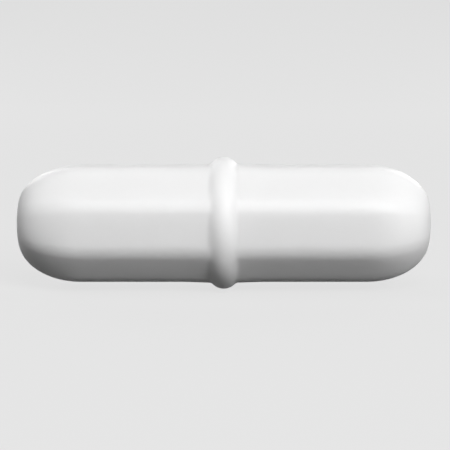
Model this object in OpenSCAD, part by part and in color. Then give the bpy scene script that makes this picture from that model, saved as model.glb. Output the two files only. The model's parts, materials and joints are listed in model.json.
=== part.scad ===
// Octagonal magnetic stir bar with a pivot ring.
// A rod magnet is sealed inside a one-piece moulded jacket, and the ring round
// the jacket's middle lets the bar spin on a single point.
// +X runs along the bar and +Z is up. The origin is at the ring's lowest point,
// with one flat of the body facing down. Millimetres.

/* [Body] */
// Length of the bar, end to end
bar_length = 28.6; // [20:0.1:50]
// Width of the body between two opposite flats
across_flats = 8; // [7:0.1:12]
// Radius of the long edges between the flats
edge_radius = 1.4; // [0.6:0.1:2]
// How far the rounding of each end runs along the bar
end_round_length = 4.3; // [2:0.1:6]
// How far the rounding of each end comes in towards the axis
end_round_depth = 2.8; // [1:0.1:3.2]

/* [Pivot ring] */
// How far the ring stands proud of the body's rounded edges
ring_height = 0.41; // [0.35:0.01:1.2]
// Radius of the ring's rounded crown, measured across the ring
ring_crown_radius = 1.1; // [0.8:0.1:2]
// Radius of the fillet where the ring runs into the body
ring_fillet = 0.35; // [0.2:0.05:0.8]

/* [Magnet] */
// Thickness of the jacket between the magnet and the flats
jacket_wall = 1; // [0.7:0.1:1.8]
// Thickness of the jacket beyond each end of the magnet
end_wall = 2.8; // [2.2:0.1:5]
// Chamfer round both ends of the magnet
magnet_chamfer = 0.4; // [0.1:0.1:1]
// Clearance all round between the magnet and its pocket
magnet_gap = 0.02; // [0.01:0.01:0.1]

/* [Hidden] */

// The body is an octagon.
sides = 8;
facet_turn = 360 / sides;
apothem = across_flats / 2;

// Corner arcs: distance of their centres from the axis, and of their crests.
corner_centre = (apothem - edge_radius) / cos(facet_turn / 2);
corner_reach = corner_centre + edge_radius;

// The ring's outside radius, which is also the height of the axis above the origin.
ring_radius = corner_reach + ring_height;
axis_height = ring_radius;

// The magnet, and the jacket's pocket a clearance larger all round.
magnet_radius = apothem - jacket_wall - magnet_gap;
magnet_length = bar_length - 2 * end_wall - 2 * magnet_gap;

// The magnet lies low in its pocket, by nearly all of the clearance.
magnet_sag = 0.9 * magnet_gap;

// Steps in each rounded edge, along each flat, over each end, over the ring's
// crown on one side and in the fillet beside it.
edge_steps = 8;
flat_steps = 3;
end_steps = 10;
crown_steps = 4;
fillet_steps = 3;

// --- Section of the body ---------------------------------------------------

// Centre of the corner arc that follows flat number k.
function corner(k) =
    corner_centre * [cos(facet_turn * (k + 0.5)), sin(facet_turn * (k + 0.5))];

// Start and end of that arc: the points where it meets the two flats.
function on_arc(k, turn) =
    corner(k) + edge_radius * [cos(facet_turn * k + turn), sin(facet_turn * k + turn)];

// Points round the body, anticlockwise: each corner's arc and the flat after it.
section = [
    for (k = [0 : sides - 1])
        each concat(
            [for (j = [0 : edge_steps - 1]) on_arc(k, facet_turn * j / edge_steps)],
            [for (j = [0 : flat_steps - 1])
                let (along = j / flat_steps)
                (1 - along) * on_arc(k, facet_turn) + along * on_arc(k + 1, 0)]
        )
];

// --- Lines along the body --------------------------------------------------
// Each point of the section carries one line from end to end. A line is a list
// of [x, radius] pairs for the half from the ring's crown out to the end face.

// Crown arc of the ring and the fillet beside it, above a body of the given radius.
function ring_profile(body_radius) =
    let (
        centre = ring_radius - ring_crown_radius,
        rise = body_radius + ring_fillet - centre,
        reach = ring_crown_radius + ring_fillet,
        foot = sqrt(pow(reach, 2) - pow(rise, 2)),
        lean = atan2(foot, rise)
    )
    concat(
        [for (j = [0 : crown_steps])
            let (a = lean * j / crown_steps)
            [ring_crown_radius * sin(a), centre + ring_crown_radius * cos(a)]],
        [for (j = [1 : fillet_steps])
            let (a = lean * (1 - j / fillet_steps))
            [foot - ring_fillet * sin(a), body_radius + ring_fillet * (1 - cos(a))]]
    );

// The body's end: a quarter ellipse that draws the section in towards the axis.
function end_profile(body_radius) =
    [for (j = [0 : end_steps])
        let (a = 90 * j / end_steps)
        [
            bar_length / 2 - end_round_length * (1 - sin(a)),
            body_radius * (1 - end_round_depth / apothem * (1 - cos(a)))
        ]];

function half_line(body_radius) =
    concat(ring_profile(body_radius), end_profile(body_radius));

// The whole line, from the -X end to the +X end, as points in space.
function whole_line(point) =
    let (
        body_radius = norm(point),
        dir = point / body_radius,
        half = half_line(body_radius),
        last = len(half) - 1
    )
    concat(
        [for (j = [last : -1 : 1]) [-half[j][0], half[j][1] * dir.x, half[j][1] * dir.y]],
        [for (p = half) [p[0], p[1] * dir.x, p[1] * dir.y]]
    );

// A closed skin through lines of equal length, which run round an axis along +X.
// Both ends are closed by a fan round a point on the axis.
module skin(lines) {
    around = len(lines);
    along = len(lines[0]);
    hubs = around * along;
    points = concat(
        [for (line = lines) each line],
        [[lines[0][0].x, 0, 0], [lines[0][along - 1].x, 0, 0]]
    );
    faces = [
        for (i = [0 : around - 1])
            let (
                here = i * along,
                next = (i + 1) % around * along
            )
            each concat(
                [[hubs, here, next]],
                [for (j = [0 : along - 2]) each [
                    [here + j, next + j + 1, next + j],
                    [here + j, here + j + 1, next + j + 1]
                ]],
                [[hubs + 1, next + along - 1, here + along - 1]]
            )
    ];
    polyhedron(points = points, faces = faces, convexity = 4);
}

// A chamfered rod along +X, its own axis at the given height.
module rod(radius, length, chamfer, height) {
    half = length / 2;
    translate([0, 0, height])
    rotate([0, 90, 0])
    rotate_extrude($fn = 96)
    polygon([
        [0, -half],
        [radius - chamfer, -half],
        [radius, -half + chamfer],
        [radius, half - chamfer],
        [radius - chamfer, half],
        [0, half]
    ]);
}

// The jacket: octagonal body, pivot ring and rounded ends in one moulding,
// closed all round the magnet's pocket.
module moulded_jacket() {
    color([0.95, 0.95, 0.94])
    difference() {
        translate([0, 0, axis_height])
        skin([for (point = section) whole_line(point)]);
        rod(
            magnet_radius + magnet_gap,
            magnet_length + 2 * magnet_gap,
            magnet_chamfer,
            axis_height
        );
    }
}

// The rod magnet that the stirrer's field turns.
module bar_magnet() {
    color([0.55, 0.55, 0.57])
    rod(magnet_radius, magnet_length, magnet_chamfer, axis_height - magnet_sag);
}

moulded_jacket();
bar_magnet();
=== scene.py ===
"""Looks of an octagonal magnetic stir bar: the moulded jacket with its pivot ring,
the magnet sealed inside it, and a plain studio stage."""

import json
import math

import bmesh
import bpy
from bpy.props import FloatProperty, FloatVectorProperty, IntProperty, PointerProperty
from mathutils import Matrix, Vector


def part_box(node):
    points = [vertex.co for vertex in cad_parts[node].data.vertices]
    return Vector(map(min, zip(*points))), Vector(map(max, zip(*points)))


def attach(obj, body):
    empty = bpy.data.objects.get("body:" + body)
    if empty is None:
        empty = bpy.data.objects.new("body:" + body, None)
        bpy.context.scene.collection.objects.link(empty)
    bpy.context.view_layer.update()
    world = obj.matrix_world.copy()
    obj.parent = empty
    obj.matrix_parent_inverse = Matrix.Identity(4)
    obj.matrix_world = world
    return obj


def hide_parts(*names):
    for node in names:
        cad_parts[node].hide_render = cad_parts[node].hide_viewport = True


bl_info = {
    "name": "Stir Bar",
    "version": (1, 0, 0),
    "blender": (4, 5, 0),
    "location": "View3D > Sidebar > Stir Bar",
    "description": "Moulds the stir bar's jacket, finishes its magnet and sets the stage",
    "category": "Object",
}

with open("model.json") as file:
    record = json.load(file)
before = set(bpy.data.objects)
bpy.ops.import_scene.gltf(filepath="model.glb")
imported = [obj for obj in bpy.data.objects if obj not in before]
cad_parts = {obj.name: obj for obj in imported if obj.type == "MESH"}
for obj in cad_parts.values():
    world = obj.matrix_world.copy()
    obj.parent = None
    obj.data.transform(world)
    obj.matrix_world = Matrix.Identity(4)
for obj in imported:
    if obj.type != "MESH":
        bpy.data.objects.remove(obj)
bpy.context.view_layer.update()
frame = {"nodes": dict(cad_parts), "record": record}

# Places that the solids give, in metres.
MM = 0.001
JACKET_LOW, JACKET_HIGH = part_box("moulded_jacket")
MAGNET_LOW, MAGNET_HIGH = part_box("bar_magnet")
FLAT_HEIGHTS = sorted(
    mount["pos_m"][2]
    for mount in frame["record"]["mounts"]
    if mount["kind"] == "flat_face"
)
AXIS_HEIGHT = sum(FLAT_HEIGHTS) / 2
CENTRE = Vector((0, 0, AXIS_HEIGHT))
HALF_LENGTH = (JACKET_HIGH.x - JACKET_LOW.x) / 2
RING_RADIUS = (JACKET_HIGH.z - JACKET_LOW.z) / 2

# The body's sides, and half the angle from one to the next.
SIDES = 8
HALF_TURN = math.pi / SIDES
HALF_TURN_TAN = math.tan(HALF_TURN)

# Loops cut round each half of the jacket: over the ring with its fillet, how many of
# those fall within the crown's radius, over the swell and over the plain body.
RING_CUTS = 22
RING_CUTS_PER_RADIUS = 16
SWELL_CUTS = 8
PLAIN_CUTS = 6

# Loops on the flat face at each end, as shares of its width.
END_FACE_SHARES = (0.7, 0.4, 0.15)

# Edges that turn by less than this are shaded smooth.
SMOOTH_ANGLE = math.radians(35)

# The wall of the magnet's pocket.
POCKET_SIDES = 96
POCKET_CHAMFER = 0.4 * MM

# The sheet of paper under and behind the bar, which is widened to the sides.
PAPER_DEPTH = 1.2
PAPER_WIDENING = 1.5
PAPER_RISE = 0.8
PAPER_CURVE = 0.3
PAPER_CURVE_STEPS = 24
PAPER_WHITE = (0.9, 0.9, 0.9)

# The camera's lens and sensor in millimetres, and where it aims from the bar's middle.
LENS = 120
SENSOR = 36
AIM = Vector((0.088 * MM, 0, -0.155 * MM))

# Numbers of the sockets of a Mix node that mixes colours.
MIX_SHARE, MIX_FIRST, MIX_SECOND, MIX_RESULT = 0, 6, 7, 2


# --- What a user would change ------------------------------------------------


class JacketSizes(bpy.types.PropertyGroup):
    """Sizes of the moulded jacket."""

    across_flats: FloatProperty(
        name="Across flats",
        description="Width of the body between two opposite flats",
        default=FLAT_HEIGHTS[-1] - FLAT_HEIGHTS[0],
        min=0.001,
        unit="LENGTH",
        precision=5,
    )
    edge_radius: FloatProperty(
        name="Edge radius",
        description="Radius of the long edges between the flats",
        default=1.4 * MM,
        min=0.0002,
        unit="LENGTH",
        precision=5,
    )
    end_length: FloatProperty(
        name="End length",
        description="How far the rounding of each end runs along the bar",
        default=4.3 * MM,
        min=0.001,
        unit="LENGTH",
        precision=5,
    )
    end_depth: FloatProperty(
        name="End depth",
        description="How far the rounding of each end comes in towards the axis",
        default=2.8 * MM,
        min=0.0005,
        unit="LENGTH",
        precision=5,
    )
    end_roundness: FloatProperty(
        name="End roundness",
        description="How far the eight-sided section turns round towards each end, 1 being fully",
        default=0.8,
        min=0,
        max=0.95,
        subtype="FACTOR",
    )
    crown_radius: FloatProperty(
        name="Crown radius",
        description="Radius of the ring's crown, measured across the ring",
        default=1.1 * MM,
        min=0.0005,
        unit="LENGTH",
        precision=5,
    )
    ring_fillet: FloatProperty(
        name="Ring fillet",
        description="Radius of the fillet where the ring runs into the body",
        default=0.2 * MM,
        min=0.0001,
        unit="LENGTH",
        precision=5,
    )
    swell: FloatProperty(
        name="Swell",
        description="How much thicker the body grows close to the ring",
        default=0.07 * MM,
        min=0,
        unit="LENGTH",
        precision=5,
    )
    swell_reach: FloatProperty(
        name="Swell reach",
        description="How far from the ring that swell runs out",
        default=3.2 * MM,
        min=0.0005,
        unit="LENGTH",
        precision=5,
    )
    pocket_gap: FloatProperty(
        name="Pocket gap",
        description="Clearance between the magnet and its pocket",
        default=0.02 * MM,
        min=0,
        unit="LENGTH",
        precision=5,
    )
    edge_steps: IntProperty(
        name="Edge steps",
        description="Faces across each rounded edge",
        default=8,
        min=2,
    )
    flat_steps: IntProperty(
        name="Flat steps",
        description="Faces across each flat",
        default=10,
        min=2,
    )
    end_steps: IntProperty(
        name="End steps",
        description="Faces along the rounding of each end",
        default=18,
        min=4,
    )


class Finishes(bpy.types.PropertyGroup):
    """Colours and surface of the pieces."""

    jacket_colour: FloatVectorProperty(
        name="Jacket colour",
        description="Colour of the moulded fluoropolymer",
        default=(0.95, 0.95, 0.945),
        size=3,
        min=0,
        max=1,
        subtype="COLOR",
    )
    jacket_shade: FloatVectorProperty(
        name="Jacket shade",
        description="Colour of the jacket's slightly denser patches",
        default=(0.93, 0.93, 0.925),
        size=3,
        min=0,
        max=1,
        subtype="COLOR",
    )
    jacket_roughness: FloatProperty(
        name="Jacket roughness",
        description="Roughness of the waxy moulded surface",
        default=0.46,
        min=0,
        max=1,
        subtype="FACTOR",
    )
    depth_share: FloatProperty(
        name="Depth share",
        description="How much of the light enters the fluoropolymer and spreads inside it",
        default=1.0,
        min=0,
        max=1,
        subtype="FACTOR",
    )
    light_depth: FloatProperty(
        name="Light depth",
        description="How far light spreads inside the fluoropolymer",
        default=1.8 * MM,
        min=0,
        unit="LENGTH",
        precision=5,
    )
    magnet_colour: FloatVectorProperty(
        name="Magnet colour",
        description="Colour of the ground magnet alloy",
        default=(0.36, 0.36, 0.37),
        size=3,
        min=0,
        max=1,
        subtype="COLOR",
    )


class StageLook(bpy.types.PropertyGroup):
    """Camera, lamps and backdrop."""

    camera_distance: FloatProperty(
        name="Camera distance",
        description="From the camera to the bar's middle",
        default=105 * MM,
        min=0.05,
        unit="LENGTH",
    )
    camera_elevation: FloatProperty(
        name="Camera elevation",
        description="How far the camera stands above the horizon",
        default=math.radians(7),
        subtype="ANGLE",
    )
    backdrop_tone: FloatProperty(
        name="Backdrop tone",
        description="How bright the floor and backdrop look to the camera, 1 being white",
        default=0.78,
        min=0,
        max=1,
        subtype="FACTOR",
    )
    floor_colour: FloatVectorProperty(
        name="Floor colour",
        description="Colour with which the floor takes and returns light",
        default=(0.07, 0.07, 0.07),
        size=3,
        min=0,
        max=1,
        subtype="COLOR",
    )
    shadow_share: FloatProperty(
        name="Shadow share",
        description="How much of the floor's look comes from the lamps, and so shows the shadow",
        default=0.09,
        min=0,
        max=1,
        subtype="FACTOR",
    )
    world_strength: FloatProperty(
        name="World strength",
        description="Brightness of the even light from all round",
        default=0.0,
        min=0,
    )
    lamp_distance: FloatProperty(
        name="Lamp distance",
        description="From each lamp to the bar's middle",
        default=0.40,
        min=0.1,
        unit="LENGTH",
    )
    lamp_size: FloatProperty(
        name="Lamp size",
        description="Width and height of each soft lamp",
        default=0.18,
        min=0.01,
        unit="LENGTH",
    )
    key_power: FloatProperty(
        name="Key power",
        description="Power of the lamp in front of the bar on the right",
        default=1.13,
        min=0,
        unit="POWER",
    )
    upper_power: FloatProperty(
        name="Upper power",
        description="Power of the lamp above the camera",
        default=0.62,
        min=0,
        unit="POWER",
    )
    fill_power: FloatProperty(
        name="Fill power",
        description="Power of the lamp on the left",
        default=0.33,
        min=0,
        unit="POWER",
    )
    back_power: FloatProperty(
        name="Back power",
        description="Power of each of the two lamps behind the bar",
        default=0.38,
        min=0,
        unit="POWER",
    )


class StirBarSettings(bpy.types.PropertyGroup):
    """All settings of the stir bar's looks."""

    sizes: PointerProperty(type=JacketSizes)
    finishes: PointerProperty(type=Finishes)
    stage: PointerProperty(type=StageLook)


# --- Shader nodes --------------------------------------------------------------


class Signal:
    """A socket that can be added to and multiplied; each step is a Math node."""

    def __init__(self, board, socket):
        self.board = board
        self.socket = socket

    def _math(self, operation, first, second):
        return self.board.add("ShaderNodeMath", {"operation": operation}, {0: first, 1: second})

    def __add__(self, other):
        return self._math("ADD", self, other)

    def __radd__(self, other):
        return self._math("ADD", other, self)

    def __mul__(self, other):
        return self._math("MULTIPLY", self, other)

    def __rmul__(self, other):
        return self._math("MULTIPLY", other, self)


class Board:
    """The node tree of one material or of the world, emptied and ready to fill."""

    def __init__(self, owner):
        owner.use_nodes = True
        self.tree = owner.node_tree
        self.tree.nodes.clear()

    def add(self, kind, settings=None, inputs=None, output=0):
        """Adds a node, sets it up and returns one of its outputs."""
        node = self.tree.nodes.new(kind)
        for name, value in (settings or {}).items():
            setattr(node, name, value)
        for name, value in (inputs or {}).items():
            if isinstance(value, Signal):
                self.tree.links.new(value.socket, node.inputs[name])
            else:
                node.inputs[name].default_value = value
        if not node.outputs:
            return None
        return Signal(self, node.outputs[output])


def opaque(colour):
    """A colour as a node's socket takes it, with its alpha."""
    return (*colour, 1.0)


def moulded_fluoropolymer(finishes):
    """White moulded fluoropolymer: waxy, satin, faintly uneven in colour and surface."""
    material = bpy.data.materials.new("moulded_fluoropolymer")
    board = Board(material)
    place = board.add("ShaderNodeTexCoord", output="Object")
    # Denser and clearer patches, about 4 mm across.
    clouds = board.add(
        "ShaderNodeTexNoise",
        None,
        {"Vector": place, "Scale": 260.0, "Detail": 3.0, "Roughness": 0.55},
    )
    # The fine grain of a moulded skin.
    grain = board.add(
        "ShaderNodeTexNoise",
        None,
        {"Vector": place, "Scale": 2600.0, "Detail": 4.0, "Roughness": 0.6},
    )
    # Faint marks, drawn out along the bar.
    along = board.add(
        "ShaderNodeMapping", None, {"Vector": place, "Scale": (0.25, 1.0, 1.0)}
    )
    draw_marks = board.add(
        "ShaderNodeTexNoise",
        None,
        {"Vector": along, "Scale": 1500.0, "Detail": 2.0, "Roughness": 0.5},
    )
    colour = board.add(
        "ShaderNodeMix",
        {"data_type": "RGBA"},
        {
            MIX_SHARE: clouds,
            MIX_FIRST: opaque(finishes.jacket_colour),
            MIX_SECOND: opaque(finishes.jacket_shade),
        },
        output=MIX_RESULT,
    )
    # Both noises average a half, so 0.06 less keeps the mean at the chosen roughness.
    roughness = finishes.jacket_roughness - 0.06 + 0.08 * clouds + 0.04 * grain
    height = 0.6 * grain + 0.4 * draw_marks
    relief = board.add(
        "ShaderNodeBump",
        None,
        {"Height": height, "Strength": 0.12, "Distance": 0.00004},
    )
    surface = board.add(
        "ShaderNodeBsdfPrincipled",
        None,
        {
            "Base Color": colour,
            "Roughness": roughness,
            "IOR": 1.36,
            "Subsurface Weight": finishes.depth_share,
            "Subsurface Radius": (1.0, 1.0, 1.0),
            "Subsurface Scale": finishes.light_depth,
            "Normal": relief,
        },
    )
    board.add("ShaderNodeOutputMaterial", None, {"Surface": surface})
    return material


def ground_magnet_alloy(finishes):
    """Dull grey cast alloy with grinding marks round its girth."""
    material = bpy.data.materials.new("ground_magnet_alloy")
    board = Board(material)
    place = board.add("ShaderNodeTexCoord", output="Object")
    # Grinding marks, drawn out round the rod.
    across = board.add(
        "ShaderNodeMapping", None, {"Vector": place, "Scale": (1.0, 0.04, 0.04)}
    )
    marks = board.add(
        "ShaderNodeTexNoise",
        None,
        {"Vector": across, "Scale": 5200.0, "Detail": 3.0, "Roughness": 0.6},
    )
    # The casting's pits, which are darker than the ground metal.
    pits = board.add(
        "ShaderNodeTexNoise",
        None,
        {"Vector": place, "Scale": 1400.0, "Detail": 4.0, "Roughness": 0.65},
    )
    dark = tuple(0.72 * channel for channel in finishes.magnet_colour)
    colour = board.add(
        "ShaderNodeMix",
        {"data_type": "RGBA"},
        {
            MIX_SHARE: pits,
            MIX_FIRST: opaque(finishes.magnet_colour),
            MIX_SECOND: opaque(dark),
        },
        output=MIX_RESULT,
    )
    relief = board.add(
        "ShaderNodeBump",
        None,
        {"Height": 0.6 * marks + 0.4 * pits, "Strength": 0.35, "Distance": 0.00005},
    )
    surface = board.add(
        "ShaderNodeBsdfPrincipled",
        None,
        {
            "Base Color": colour,
            "Metallic": 1.0,
            "Roughness": 0.34 + 0.22 * marks,
            "Normal": relief,
        },
    )
    board.add("ShaderNodeOutputMaterial", None, {"Surface": surface})
    return material


def looked_at(board):
    """1 for a ray that shows a thing to the camera, in a reflection or through glass."""
    seen = board.add("ShaderNodeLightPath", output="Is Camera Ray")
    gloss = board.add("ShaderNodeLightPath", output="Is Glossy Ray")
    through = board.add("ShaderNodeLightPath", output="Is Transmission Ray")
    return board.add(
        "ShaderNodeMath", {"operation": "ADD", "use_clamp": True}, {0: seen + gloss, 1: through}
    )


def studio_paper(look):
    """Pale seamless paper, toned for the camera and for reflections alone."""
    material = bpy.data.materials.new("studio_paper")
    board = Board(material)
    tone = (look.backdrop_tone,) * 3
    glow = board.add("ShaderNodeEmission", None, {"Color": opaque(tone), "Strength": 1.0})
    paper = board.add("ShaderNodeBsdfDiffuse", None, {"Color": opaque(PAPER_WHITE)})
    pale = board.add("ShaderNodeMixShader", None, {0: look.shadow_share, 1: glow, 2: paper})
    plain = board.add("ShaderNodeBsdfDiffuse", None, {"Color": opaque(look.floor_colour)})
    surface = board.add("ShaderNodeMixShader", None, {0: looked_at(board), 1: plain, 2: pale})
    board.add("ShaderNodeOutputMaterial", None, {"Surface": surface})
    return material


# --- Hands: small steps used by the operators ----------------------------------


def start_alone():
    """Leaves edit mode and deselects everything, so that the next step acts alone."""
    if bpy.context.object and bpy.context.object.mode != "OBJECT":
        bpy.ops.object.mode_set(mode="OBJECT")
    bpy.ops.object.select_all(action="DESELECT")


def pick_points(piece, test):
    """In edit mode, selects the points for which test(place) holds."""
    bpy.ops.mesh.select_mode(type="VERT")
    bpy.ops.mesh.select_all(action="DESELECT")
    shape = bmesh.from_edit_mesh(piece.data)
    for point in shape.verts:
        point.select = test(point.co)
    shape.select_flush(True)
    bmesh.update_edit_mesh(piece.data)


def pick_edges(piece, test):
    """In edit mode, selects the edges for which test(start, end) holds."""
    bpy.ops.mesh.select_mode(type="EDGE")
    bpy.ops.mesh.select_all(action="DESELECT")
    shape = bmesh.from_edit_mesh(piece.data)
    found = 0
    for edge in shape.edges:
        if test(edge.verts[0].co, edge.verts[1].co):
            edge.select = True
            found += 1
    bmesh.update_edit_mesh(piece.data)
    if not found:
        raise RuntimeError(f"{piece.name}: no edge to work on")


def near(first, second, slack=1e-6):
    """Whether two lengths are the same, give or take the slack."""
    return abs(first - second) < slack


def girth(piece, x):
    """Distances from the body's axis of the points at that place along the bar."""
    shape = bmesh.from_edit_mesh(piece.data)
    return [
        math.hypot(point.co.y, point.co.z - AXIS_HEIGHT)
        for point in shape.verts
        if near(point.co.x, x)
    ]


def place_in_mesh():
    """Moves the selected piece's place, turn and scale into its mesh."""
    bpy.ops.object.transform_apply(location=True, rotation=True, scale=True)


# --- The jacket ------------------------------------------------------------------


def body_growth(sizes, x):
    """How much wider than the plain body the jacket is, x away from the ring."""
    share = min(1.0, max(0.0, abs(x) / sizes.swell_reach))
    return 1 + sizes.swell / (sizes.across_flats / 2) * (1 + math.cos(math.pi * share)) / 2


def ring_reach(sizes, body_radius, x):
    """Radius of the jacket x away from the ring's middle, over a body of that radius."""
    body_radius *= body_growth(sizes, x)
    # The crown's arc and the fillet's touch; the fillet meets the body at foot.
    crown_centre = RING_RADIUS - sizes.crown_radius
    rise = body_radius + sizes.ring_fillet - crown_centre
    reach = sizes.crown_radius + sizes.ring_fillet
    foot = math.sqrt(reach**2 - rise**2)
    if x >= foot:
        return body_radius
    if x <= sizes.crown_radius * foot / reach:
        return crown_centre + math.sqrt(sizes.crown_radius**2 - x**2)
    return crown_centre + rise - math.sqrt(sizes.ring_fillet**2 - (foot - x) ** 2)


def octagon_sleeve(sizes):
    """Adds an open eight-sided sleeve along the bar and rounds its long edges."""
    half_straight = HALF_LENGTH - sizes.end_length
    edge_width = sizes.edge_radius * HALF_TURN_TAN
    flat_width = sizes.across_flats * HALF_TURN_TAN - 2 * edge_width
    start_alone()
    bpy.ops.mesh.primitive_cylinder_add(
        vertices=SIDES,
        radius=sizes.across_flats / 2 / math.cos(HALF_TURN),
        depth=2 * half_straight,
        end_fill_type="NOTHING",
    )
    sleeve = bpy.context.object
    sleeve.name = "jacket_skin"
    bpy.ops.object.mode_set(mode="EDIT")
    bpy.ops.mesh.select_all(action="SELECT")
    bpy.ops.transform.rotate(value=HALF_TURN, orient_axis="Z", center_override=(0, 0, 0))
    bpy.ops.transform.rotate(value=math.pi / 2, orient_axis="Y", center_override=(0, 0, 0))
    bpy.ops.transform.translate(value=CENTRE)
    pick_edges(sleeve, lambda a, b: near(abs(a.x - b.x), 2 * half_straight))
    bpy.ops.mesh.bevel(
        offset_type="OFFSET",
        offset=edge_width,
        segments=sizes.edge_steps,
        profile=0.5,
        affect="EDGES",
        clamp_overlap=False,
    )
    pick_edges(sleeve, lambda a, b: near(a.x, b.x) and near((a - b).length, flat_width, 1e-5))
    bpy.ops.mesh.subdivide(number_cuts=sizes.flat_steps - 1)
    return sleeve


def cut_round(x):
    """Cuts a loop of edges round the whole sleeve at that place along the bar."""
    bpy.ops.mesh.select_all(action="SELECT")
    bpy.ops.mesh.bisect(plane_co=(x, 0, 0), plane_no=(1, 0, 0))


def raise_ring(sleeve, sizes):
    """Cuts loops along the sleeve and moves each out to the ring, its fillet or the swell."""
    ring_step = sizes.crown_radius / RING_CUTS_PER_RADIUS
    ring_places = [ring_step * cut for cut in range(RING_CUTS + 1)]
    swell_places = [
        ring_places[-1] + (sizes.swell_reach - ring_places[-1]) * cut / SWELL_CUTS
        for cut in range(1, SWELL_CUTS + 1)
    ]
    half_straight = HALF_LENGTH - sizes.end_length
    plain_places = [
        sizes.swell_reach + (half_straight - sizes.swell_reach) * cut / PLAIN_CUTS
        for cut in range(1, PLAIN_CUTS)
    ]
    for x in ring_places + swell_places + plain_places:
        for side in (1, -1) if x else (1,):
            cut_round(side * x)
    plain = girth(sleeve, 0)
    over_flat, over_corner = min(plain), max(plain)
    mean = sum(plain) / len(plain)
    for x in ring_places + swell_places:
        at_flat = ring_reach(sizes, over_flat, x)
        at_corner = ring_reach(sizes, over_corner, x)
        # A loop that is scaled and then drawn towards a circle keeps its points' radii
        # in one straight line, here the one through both of the wanted radii.
        slope = (at_corner - at_flat) / (over_corner - over_flat)
        scale = slope + (at_flat - over_flat * slope) / mean
        roundness = 1 - slope / scale
        for side in (1, -1) if x else (1,):
            middle = (side * x, 0, AXIS_HEIGHT)
            pick_points(sleeve, lambda place: near(place.x, side * x))
            bpy.ops.transform.resize(value=(1, scale, scale), center_override=middle)
            if roundness > 1e-4:
                bpy.ops.transform.tosphere(value=roundness, center_override=middle)


def pick_rim(sleeve, x):
    """Selects the open rim at that place along the bar."""
    bpy.ops.mesh.select_mode(type="EDGE")
    bpy.ops.mesh.select_all(action="DESELECT")
    shape = bmesh.from_edit_mesh(sleeve.data)
    for edge in shape.edges:
        edge.select = edge.is_boundary and near(edge.verts[0].co.x, x)
    bmesh.update_edit_mesh(sleeve.data)


def extrude_end(sleeve, side, x, next_x, ratio):
    """Extrudes the rim at x to next_x and scales it about the bar's axis."""
    pick_rim(sleeve, side * x)
    bpy.ops.mesh.extrude_edges_move(
        TRANSFORM_OT_translate={"value": (side * (next_x - x), 0, 0)}
    )
    bpy.ops.transform.resize(
        value=(1, ratio, ratio), center_override=(side * next_x, 0, AXIS_HEIGHT)
    )


def round_ends(sleeve, sizes):
    """Draws both open ends out and in along a quarter ellipse and closes them."""
    inset = sizes.end_depth / (sizes.across_flats / 2)
    for side in (1, -1):
        x, width, roundness = HALF_LENGTH - sizes.end_length, 1.0, 0.0
        for step in range(1, sizes.end_steps + 1):
            angle = math.pi / 2 * step / sizes.end_steps
            next_x = HALF_LENGTH - sizes.end_length * (1 - math.sin(angle))
            next_width = 1 - inset * (1 - math.cos(angle))
            # The section turns round early on, while the end is still nearly full size.
            next_roundness = sizes.end_roundness * (1 - math.cos(angle)) ** 0.5
            extrude_end(sleeve, side, x, next_x, next_width / width)
            bpy.ops.transform.tosphere(
                value=1 - (1 - next_roundness) / (1 - roundness),
                center_override=(side * next_x, 0, AXIS_HEIGHT),
            )
            x, width, roundness = next_x, next_width, next_roundness
        for share in END_FACE_SHARES:
            extrude_end(sleeve, side, x, x, share * (1 - inset) / width)
            width = share * (1 - inset)
        pick_rim(sleeve, side * x)
        bpy.ops.mesh.merge(type="CENTER")


def line_pocket(sizes):
    """Makes the wall of the closed pocket, which faces the magnet."""
    start_alone()
    radius = (MAGNET_HIGH.y - MAGNET_LOW.y) / 2 + sizes.pocket_gap
    depth = MAGNET_HIGH.x - MAGNET_LOW.x + 2 * sizes.pocket_gap
    bpy.ops.mesh.primitive_cylinder_add(
        vertices=POCKET_SIDES, radius=radius, depth=depth, end_fill_type="TRIFAN"
    )
    pocket = bpy.context.object
    pocket.name = "jacket_pocket"
    bpy.ops.object.mode_set(mode="EDIT")
    bpy.ops.mesh.select_all(action="SELECT")
    bpy.ops.transform.rotate(value=math.pi / 2, orient_axis="Y", center_override=(0, 0, 0))
    bpy.ops.transform.translate(value=CENTRE)
    pick_edges(
        pocket,
        lambda a, b: near(a.x, b.x)
        and near(math.hypot(a.y, a.z - AXIS_HEIGHT), radius)
        and near(math.hypot(b.y, b.z - AXIS_HEIGHT), radius),
    )
    bpy.ops.mesh.bevel(
        offset_type="OFFSET", offset=POCKET_CHAMFER, segments=1, affect="EDGES"
    )
    bpy.ops.mesh.select_all(action="SELECT")
    bpy.ops.mesh.normals_make_consistent(inside=True)
    bpy.ops.object.mode_set(mode="OBJECT")
    return pocket


class STIRBAR_OT_mould_jacket(bpy.types.Operator):
    """Moulds the jacket: octagonal body, pivot ring, rounded ends and closed pocket"""

    bl_idname = "stirbar.mould_jacket"
    bl_label = "Mould jacket"
    bl_options = {"REGISTER", "UNDO"}

    def execute(self, context):
        settings = context.scene.stir_bar
        pocket = line_pocket(settings.sizes)
        jacket = octagon_sleeve(settings.sizes)
        raise_ring(jacket, settings.sizes)
        round_ends(jacket, settings.sizes)
        bpy.ops.mesh.select_all(action="SELECT")
        bpy.ops.mesh.normals_make_consistent(inside=False)
        bpy.ops.object.mode_set(mode="OBJECT")
        start_alone()
        pocket.select_set(True)
        jacket.select_set(True)
        context.view_layer.objects.active = jacket
        bpy.ops.object.join()
        place_in_mesh()
        bpy.ops.object.shade_smooth_by_angle(angle=SMOOTH_ANGLE)
        jacket.data.materials.clear()
        jacket.data.materials.append(moulded_fluoropolymer(settings.finishes))
        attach(jacket, "root")
        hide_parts("moulded_jacket")
        return {"FINISHED"}


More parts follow.
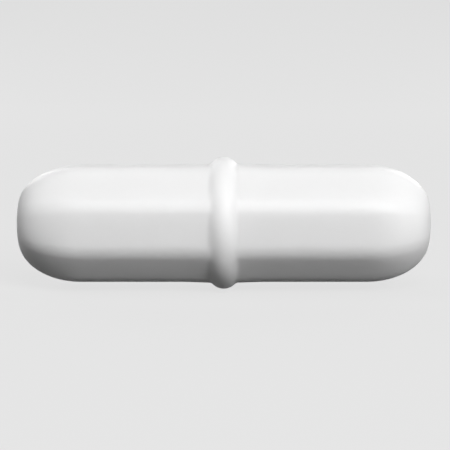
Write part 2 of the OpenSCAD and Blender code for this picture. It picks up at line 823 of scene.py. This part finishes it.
class STIRBAR_OT_finish_magnet(bpy.types.Operator):
    """Gives the sealed rod magnet its ground alloy surface"""

    bl_idname = "stirbar.finish_magnet"
    bl_label = "Finish magnet"
    bl_options = {"REGISTER", "UNDO"}

    def execute(self, context):
        magnet = frame["nodes"]["bar_magnet"]
        magnet.data.materials.clear()
        magnet.data.materials.append(ground_magnet_alloy(context.scene.stir_bar.finishes))
        return {"FINISHED"}


# --- The stage -------------------------------------------------------------------


def lay_paper(look):
    """A floor that sweeps up into a backdrop behind the bar."""
    rear = PAPER_DEPTH / 2
    start_alone()
    bpy.ops.mesh.primitive_plane_add(size=PAPER_DEPTH)
    paper = bpy.context.object
    paper.name = "paper_sweep"
    bpy.ops.object.mode_set(mode="EDIT")
    bpy.ops.mesh.select_all(action="SELECT")
    bpy.ops.transform.resize(value=(PAPER_WIDENING, 1, 1), center_override=(0, 0, 0))
    pick_edges(paper, lambda a, b: near(a.y, rear) and near(b.y, rear))
    bpy.ops.mesh.extrude_edges_move(TRANSFORM_OT_translate={"value": (0, 0, PAPER_RISE)})
    pick_edges(
        paper,
        lambda a, b: near(a.y, rear) and near(b.y, rear) and near(a.z, 0) and near(b.z, 0),
    )
    bpy.ops.mesh.bevel(
        offset_type="OFFSET",
        offset=PAPER_CURVE,
        segments=PAPER_CURVE_STEPS,
        profile=0.5,
        affect="EDGES",
    )
    bpy.ops.object.mode_set(mode="OBJECT")
    place_in_mesh()
    bpy.ops.object.shade_smooth()
    paper.data.materials.append(studio_paper(look))


def hang_lamp(look, name, azimuth, elevation, power):
    """Hangs a square soft lamp that faces the bar; azimuth 0 is the camera's side."""
    turn, lift = math.radians(azimuth), math.radians(elevation)
    away = Vector(
        (
            math.sin(turn) * math.cos(lift),
            -math.cos(turn) * math.cos(lift),
            math.sin(lift),
        )
    )
    start_alone()
    bpy.ops.object.light_add(type="AREA", location=CENTRE + look.lamp_distance * away)
    lamp = bpy.context.object
    lamp.name = name
    lamp.rotation_mode = "QUATERNION"
    lamp.rotation_quaternion = away.to_track_quat("Z", "Y")
    lamp.data.shape = "SQUARE"
    lamp.data.size = look.lamp_size
    lamp.data.energy = power
    lamp.visible_camera = False


def stand_camera(look):
    """Stands the camera in front of the bar, looking slightly down on it."""
    lift = look.camera_elevation
    back = Vector((0, -math.cos(lift), math.sin(lift)))
    start_alone()
    bpy.ops.object.camera_add(location=CENTRE + AIM + look.camera_distance * back)
    camera = bpy.context.object
    camera.name = "camera"
    camera.rotation_mode = "QUATERNION"
    camera.rotation_quaternion = (-back).to_track_quat("-Z", "Y")
    camera.data.sensor_width = SENSOR
    camera.data.lens = LENS
    camera.data.clip_start = 0.005
    camera.data.clip_end = 20
    bpy.context.scene.camera = camera


def light_world(look):
    """Even light from all round, behind which the camera sees the backdrop's tone."""
    world = bpy.data.worlds.new("studio_air")
    bpy.context.scene.world = world
    board = Board(world)
    tone = (look.backdrop_tone,) * 3
    air = board.add(
        "ShaderNodeBackground",
        None,
        {"Color": (1.0, 1.0, 1.0, 1.0), "Strength": look.world_strength},
    )
    far = board.add("ShaderNodeBackground", None, {"Color": opaque(tone), "Strength": 1.0})
    surface = board.add("ShaderNodeMixShader", None, {0: looked_at(board), 1: air, 2: far})
    board.add("ShaderNodeOutputWorld", None, {"Surface": surface})


class STIRBAR_OT_set_stage(bpy.types.Operator):
    """Sets the paper sweep, the lamps, the even light and the camera"""

    bl_idname = "stirbar.set_stage"
    bl_label = "Set stage"
    bl_options = {"REGISTER", "UNDO"}

    def execute(self, context):
        look = context.scene.stir_bar.stage
        context.scene.view_settings.view_transform = "Standard"
        lay_paper(look)
        stand_camera(look)
        light_world(look)
        hang_lamp(look, "key_lamp", azimuth=30, elevation=25, power=look.key_power)
        hang_lamp(look, "upper_lamp", azimuth=10, elevation=45, power=look.upper_power)
        hang_lamp(look, "fill_lamp", azimuth=-90, elevation=45, power=look.fill_power)
        for name, azimuth in (("left_back_lamp", -150), ("right_back_lamp", 150)):
            hang_lamp(look, name, azimuth, elevation=24, power=look.back_power)
        return {"FINISHED"}


# --- Panel and start ---------------------------------------------------------------


class VIEW3D_PT_stir_bar(bpy.types.Panel):
    """Lists the stir bar's settings in their groups, and the steps that use them"""

    bl_idname = "VIEW3D_PT_stir_bar"
    bl_label = "Stir Bar"
    bl_space_type = "VIEW_3D"
    bl_region_type = "UI"
    bl_category = "Stir Bar"

    def draw(self, context):
        settings = context.scene.stir_bar
        for group, step in (
            (settings.sizes, STIRBAR_OT_mould_jacket),
            (settings.finishes, STIRBAR_OT_finish_magnet),
            (settings.stage, STIRBAR_OT_set_stage),
        ):
            part = self.layout.box()
            for name in type(group).__annotations__:
                part.prop(group, name)
            part.operator(step.bl_idname)


CLASSES = (
    JacketSizes,
    Finishes,
    StageLook,
    StirBarSettings,
    STIRBAR_OT_mould_jacket,
    STIRBAR_OT_finish_magnet,
    STIRBAR_OT_set_stage,
    VIEW3D_PT_stir_bar,
)


def register():
    for kind in CLASSES:
        bpy.utils.register_class(kind)
    bpy.types.Scene.stir_bar = PointerProperty(type=StirBarSettings)


def unregister():
    del bpy.types.Scene.stir_bar
    for kind in reversed(CLASSES):
        bpy.utils.unregister_class(kind)


def main():
    register()
    bpy.ops.stirbar.mould_jacket()
    bpy.ops.stirbar.finish_magnet()
    bpy.ops.stirbar.set_stage()


if __name__ == "__main__":
    main()
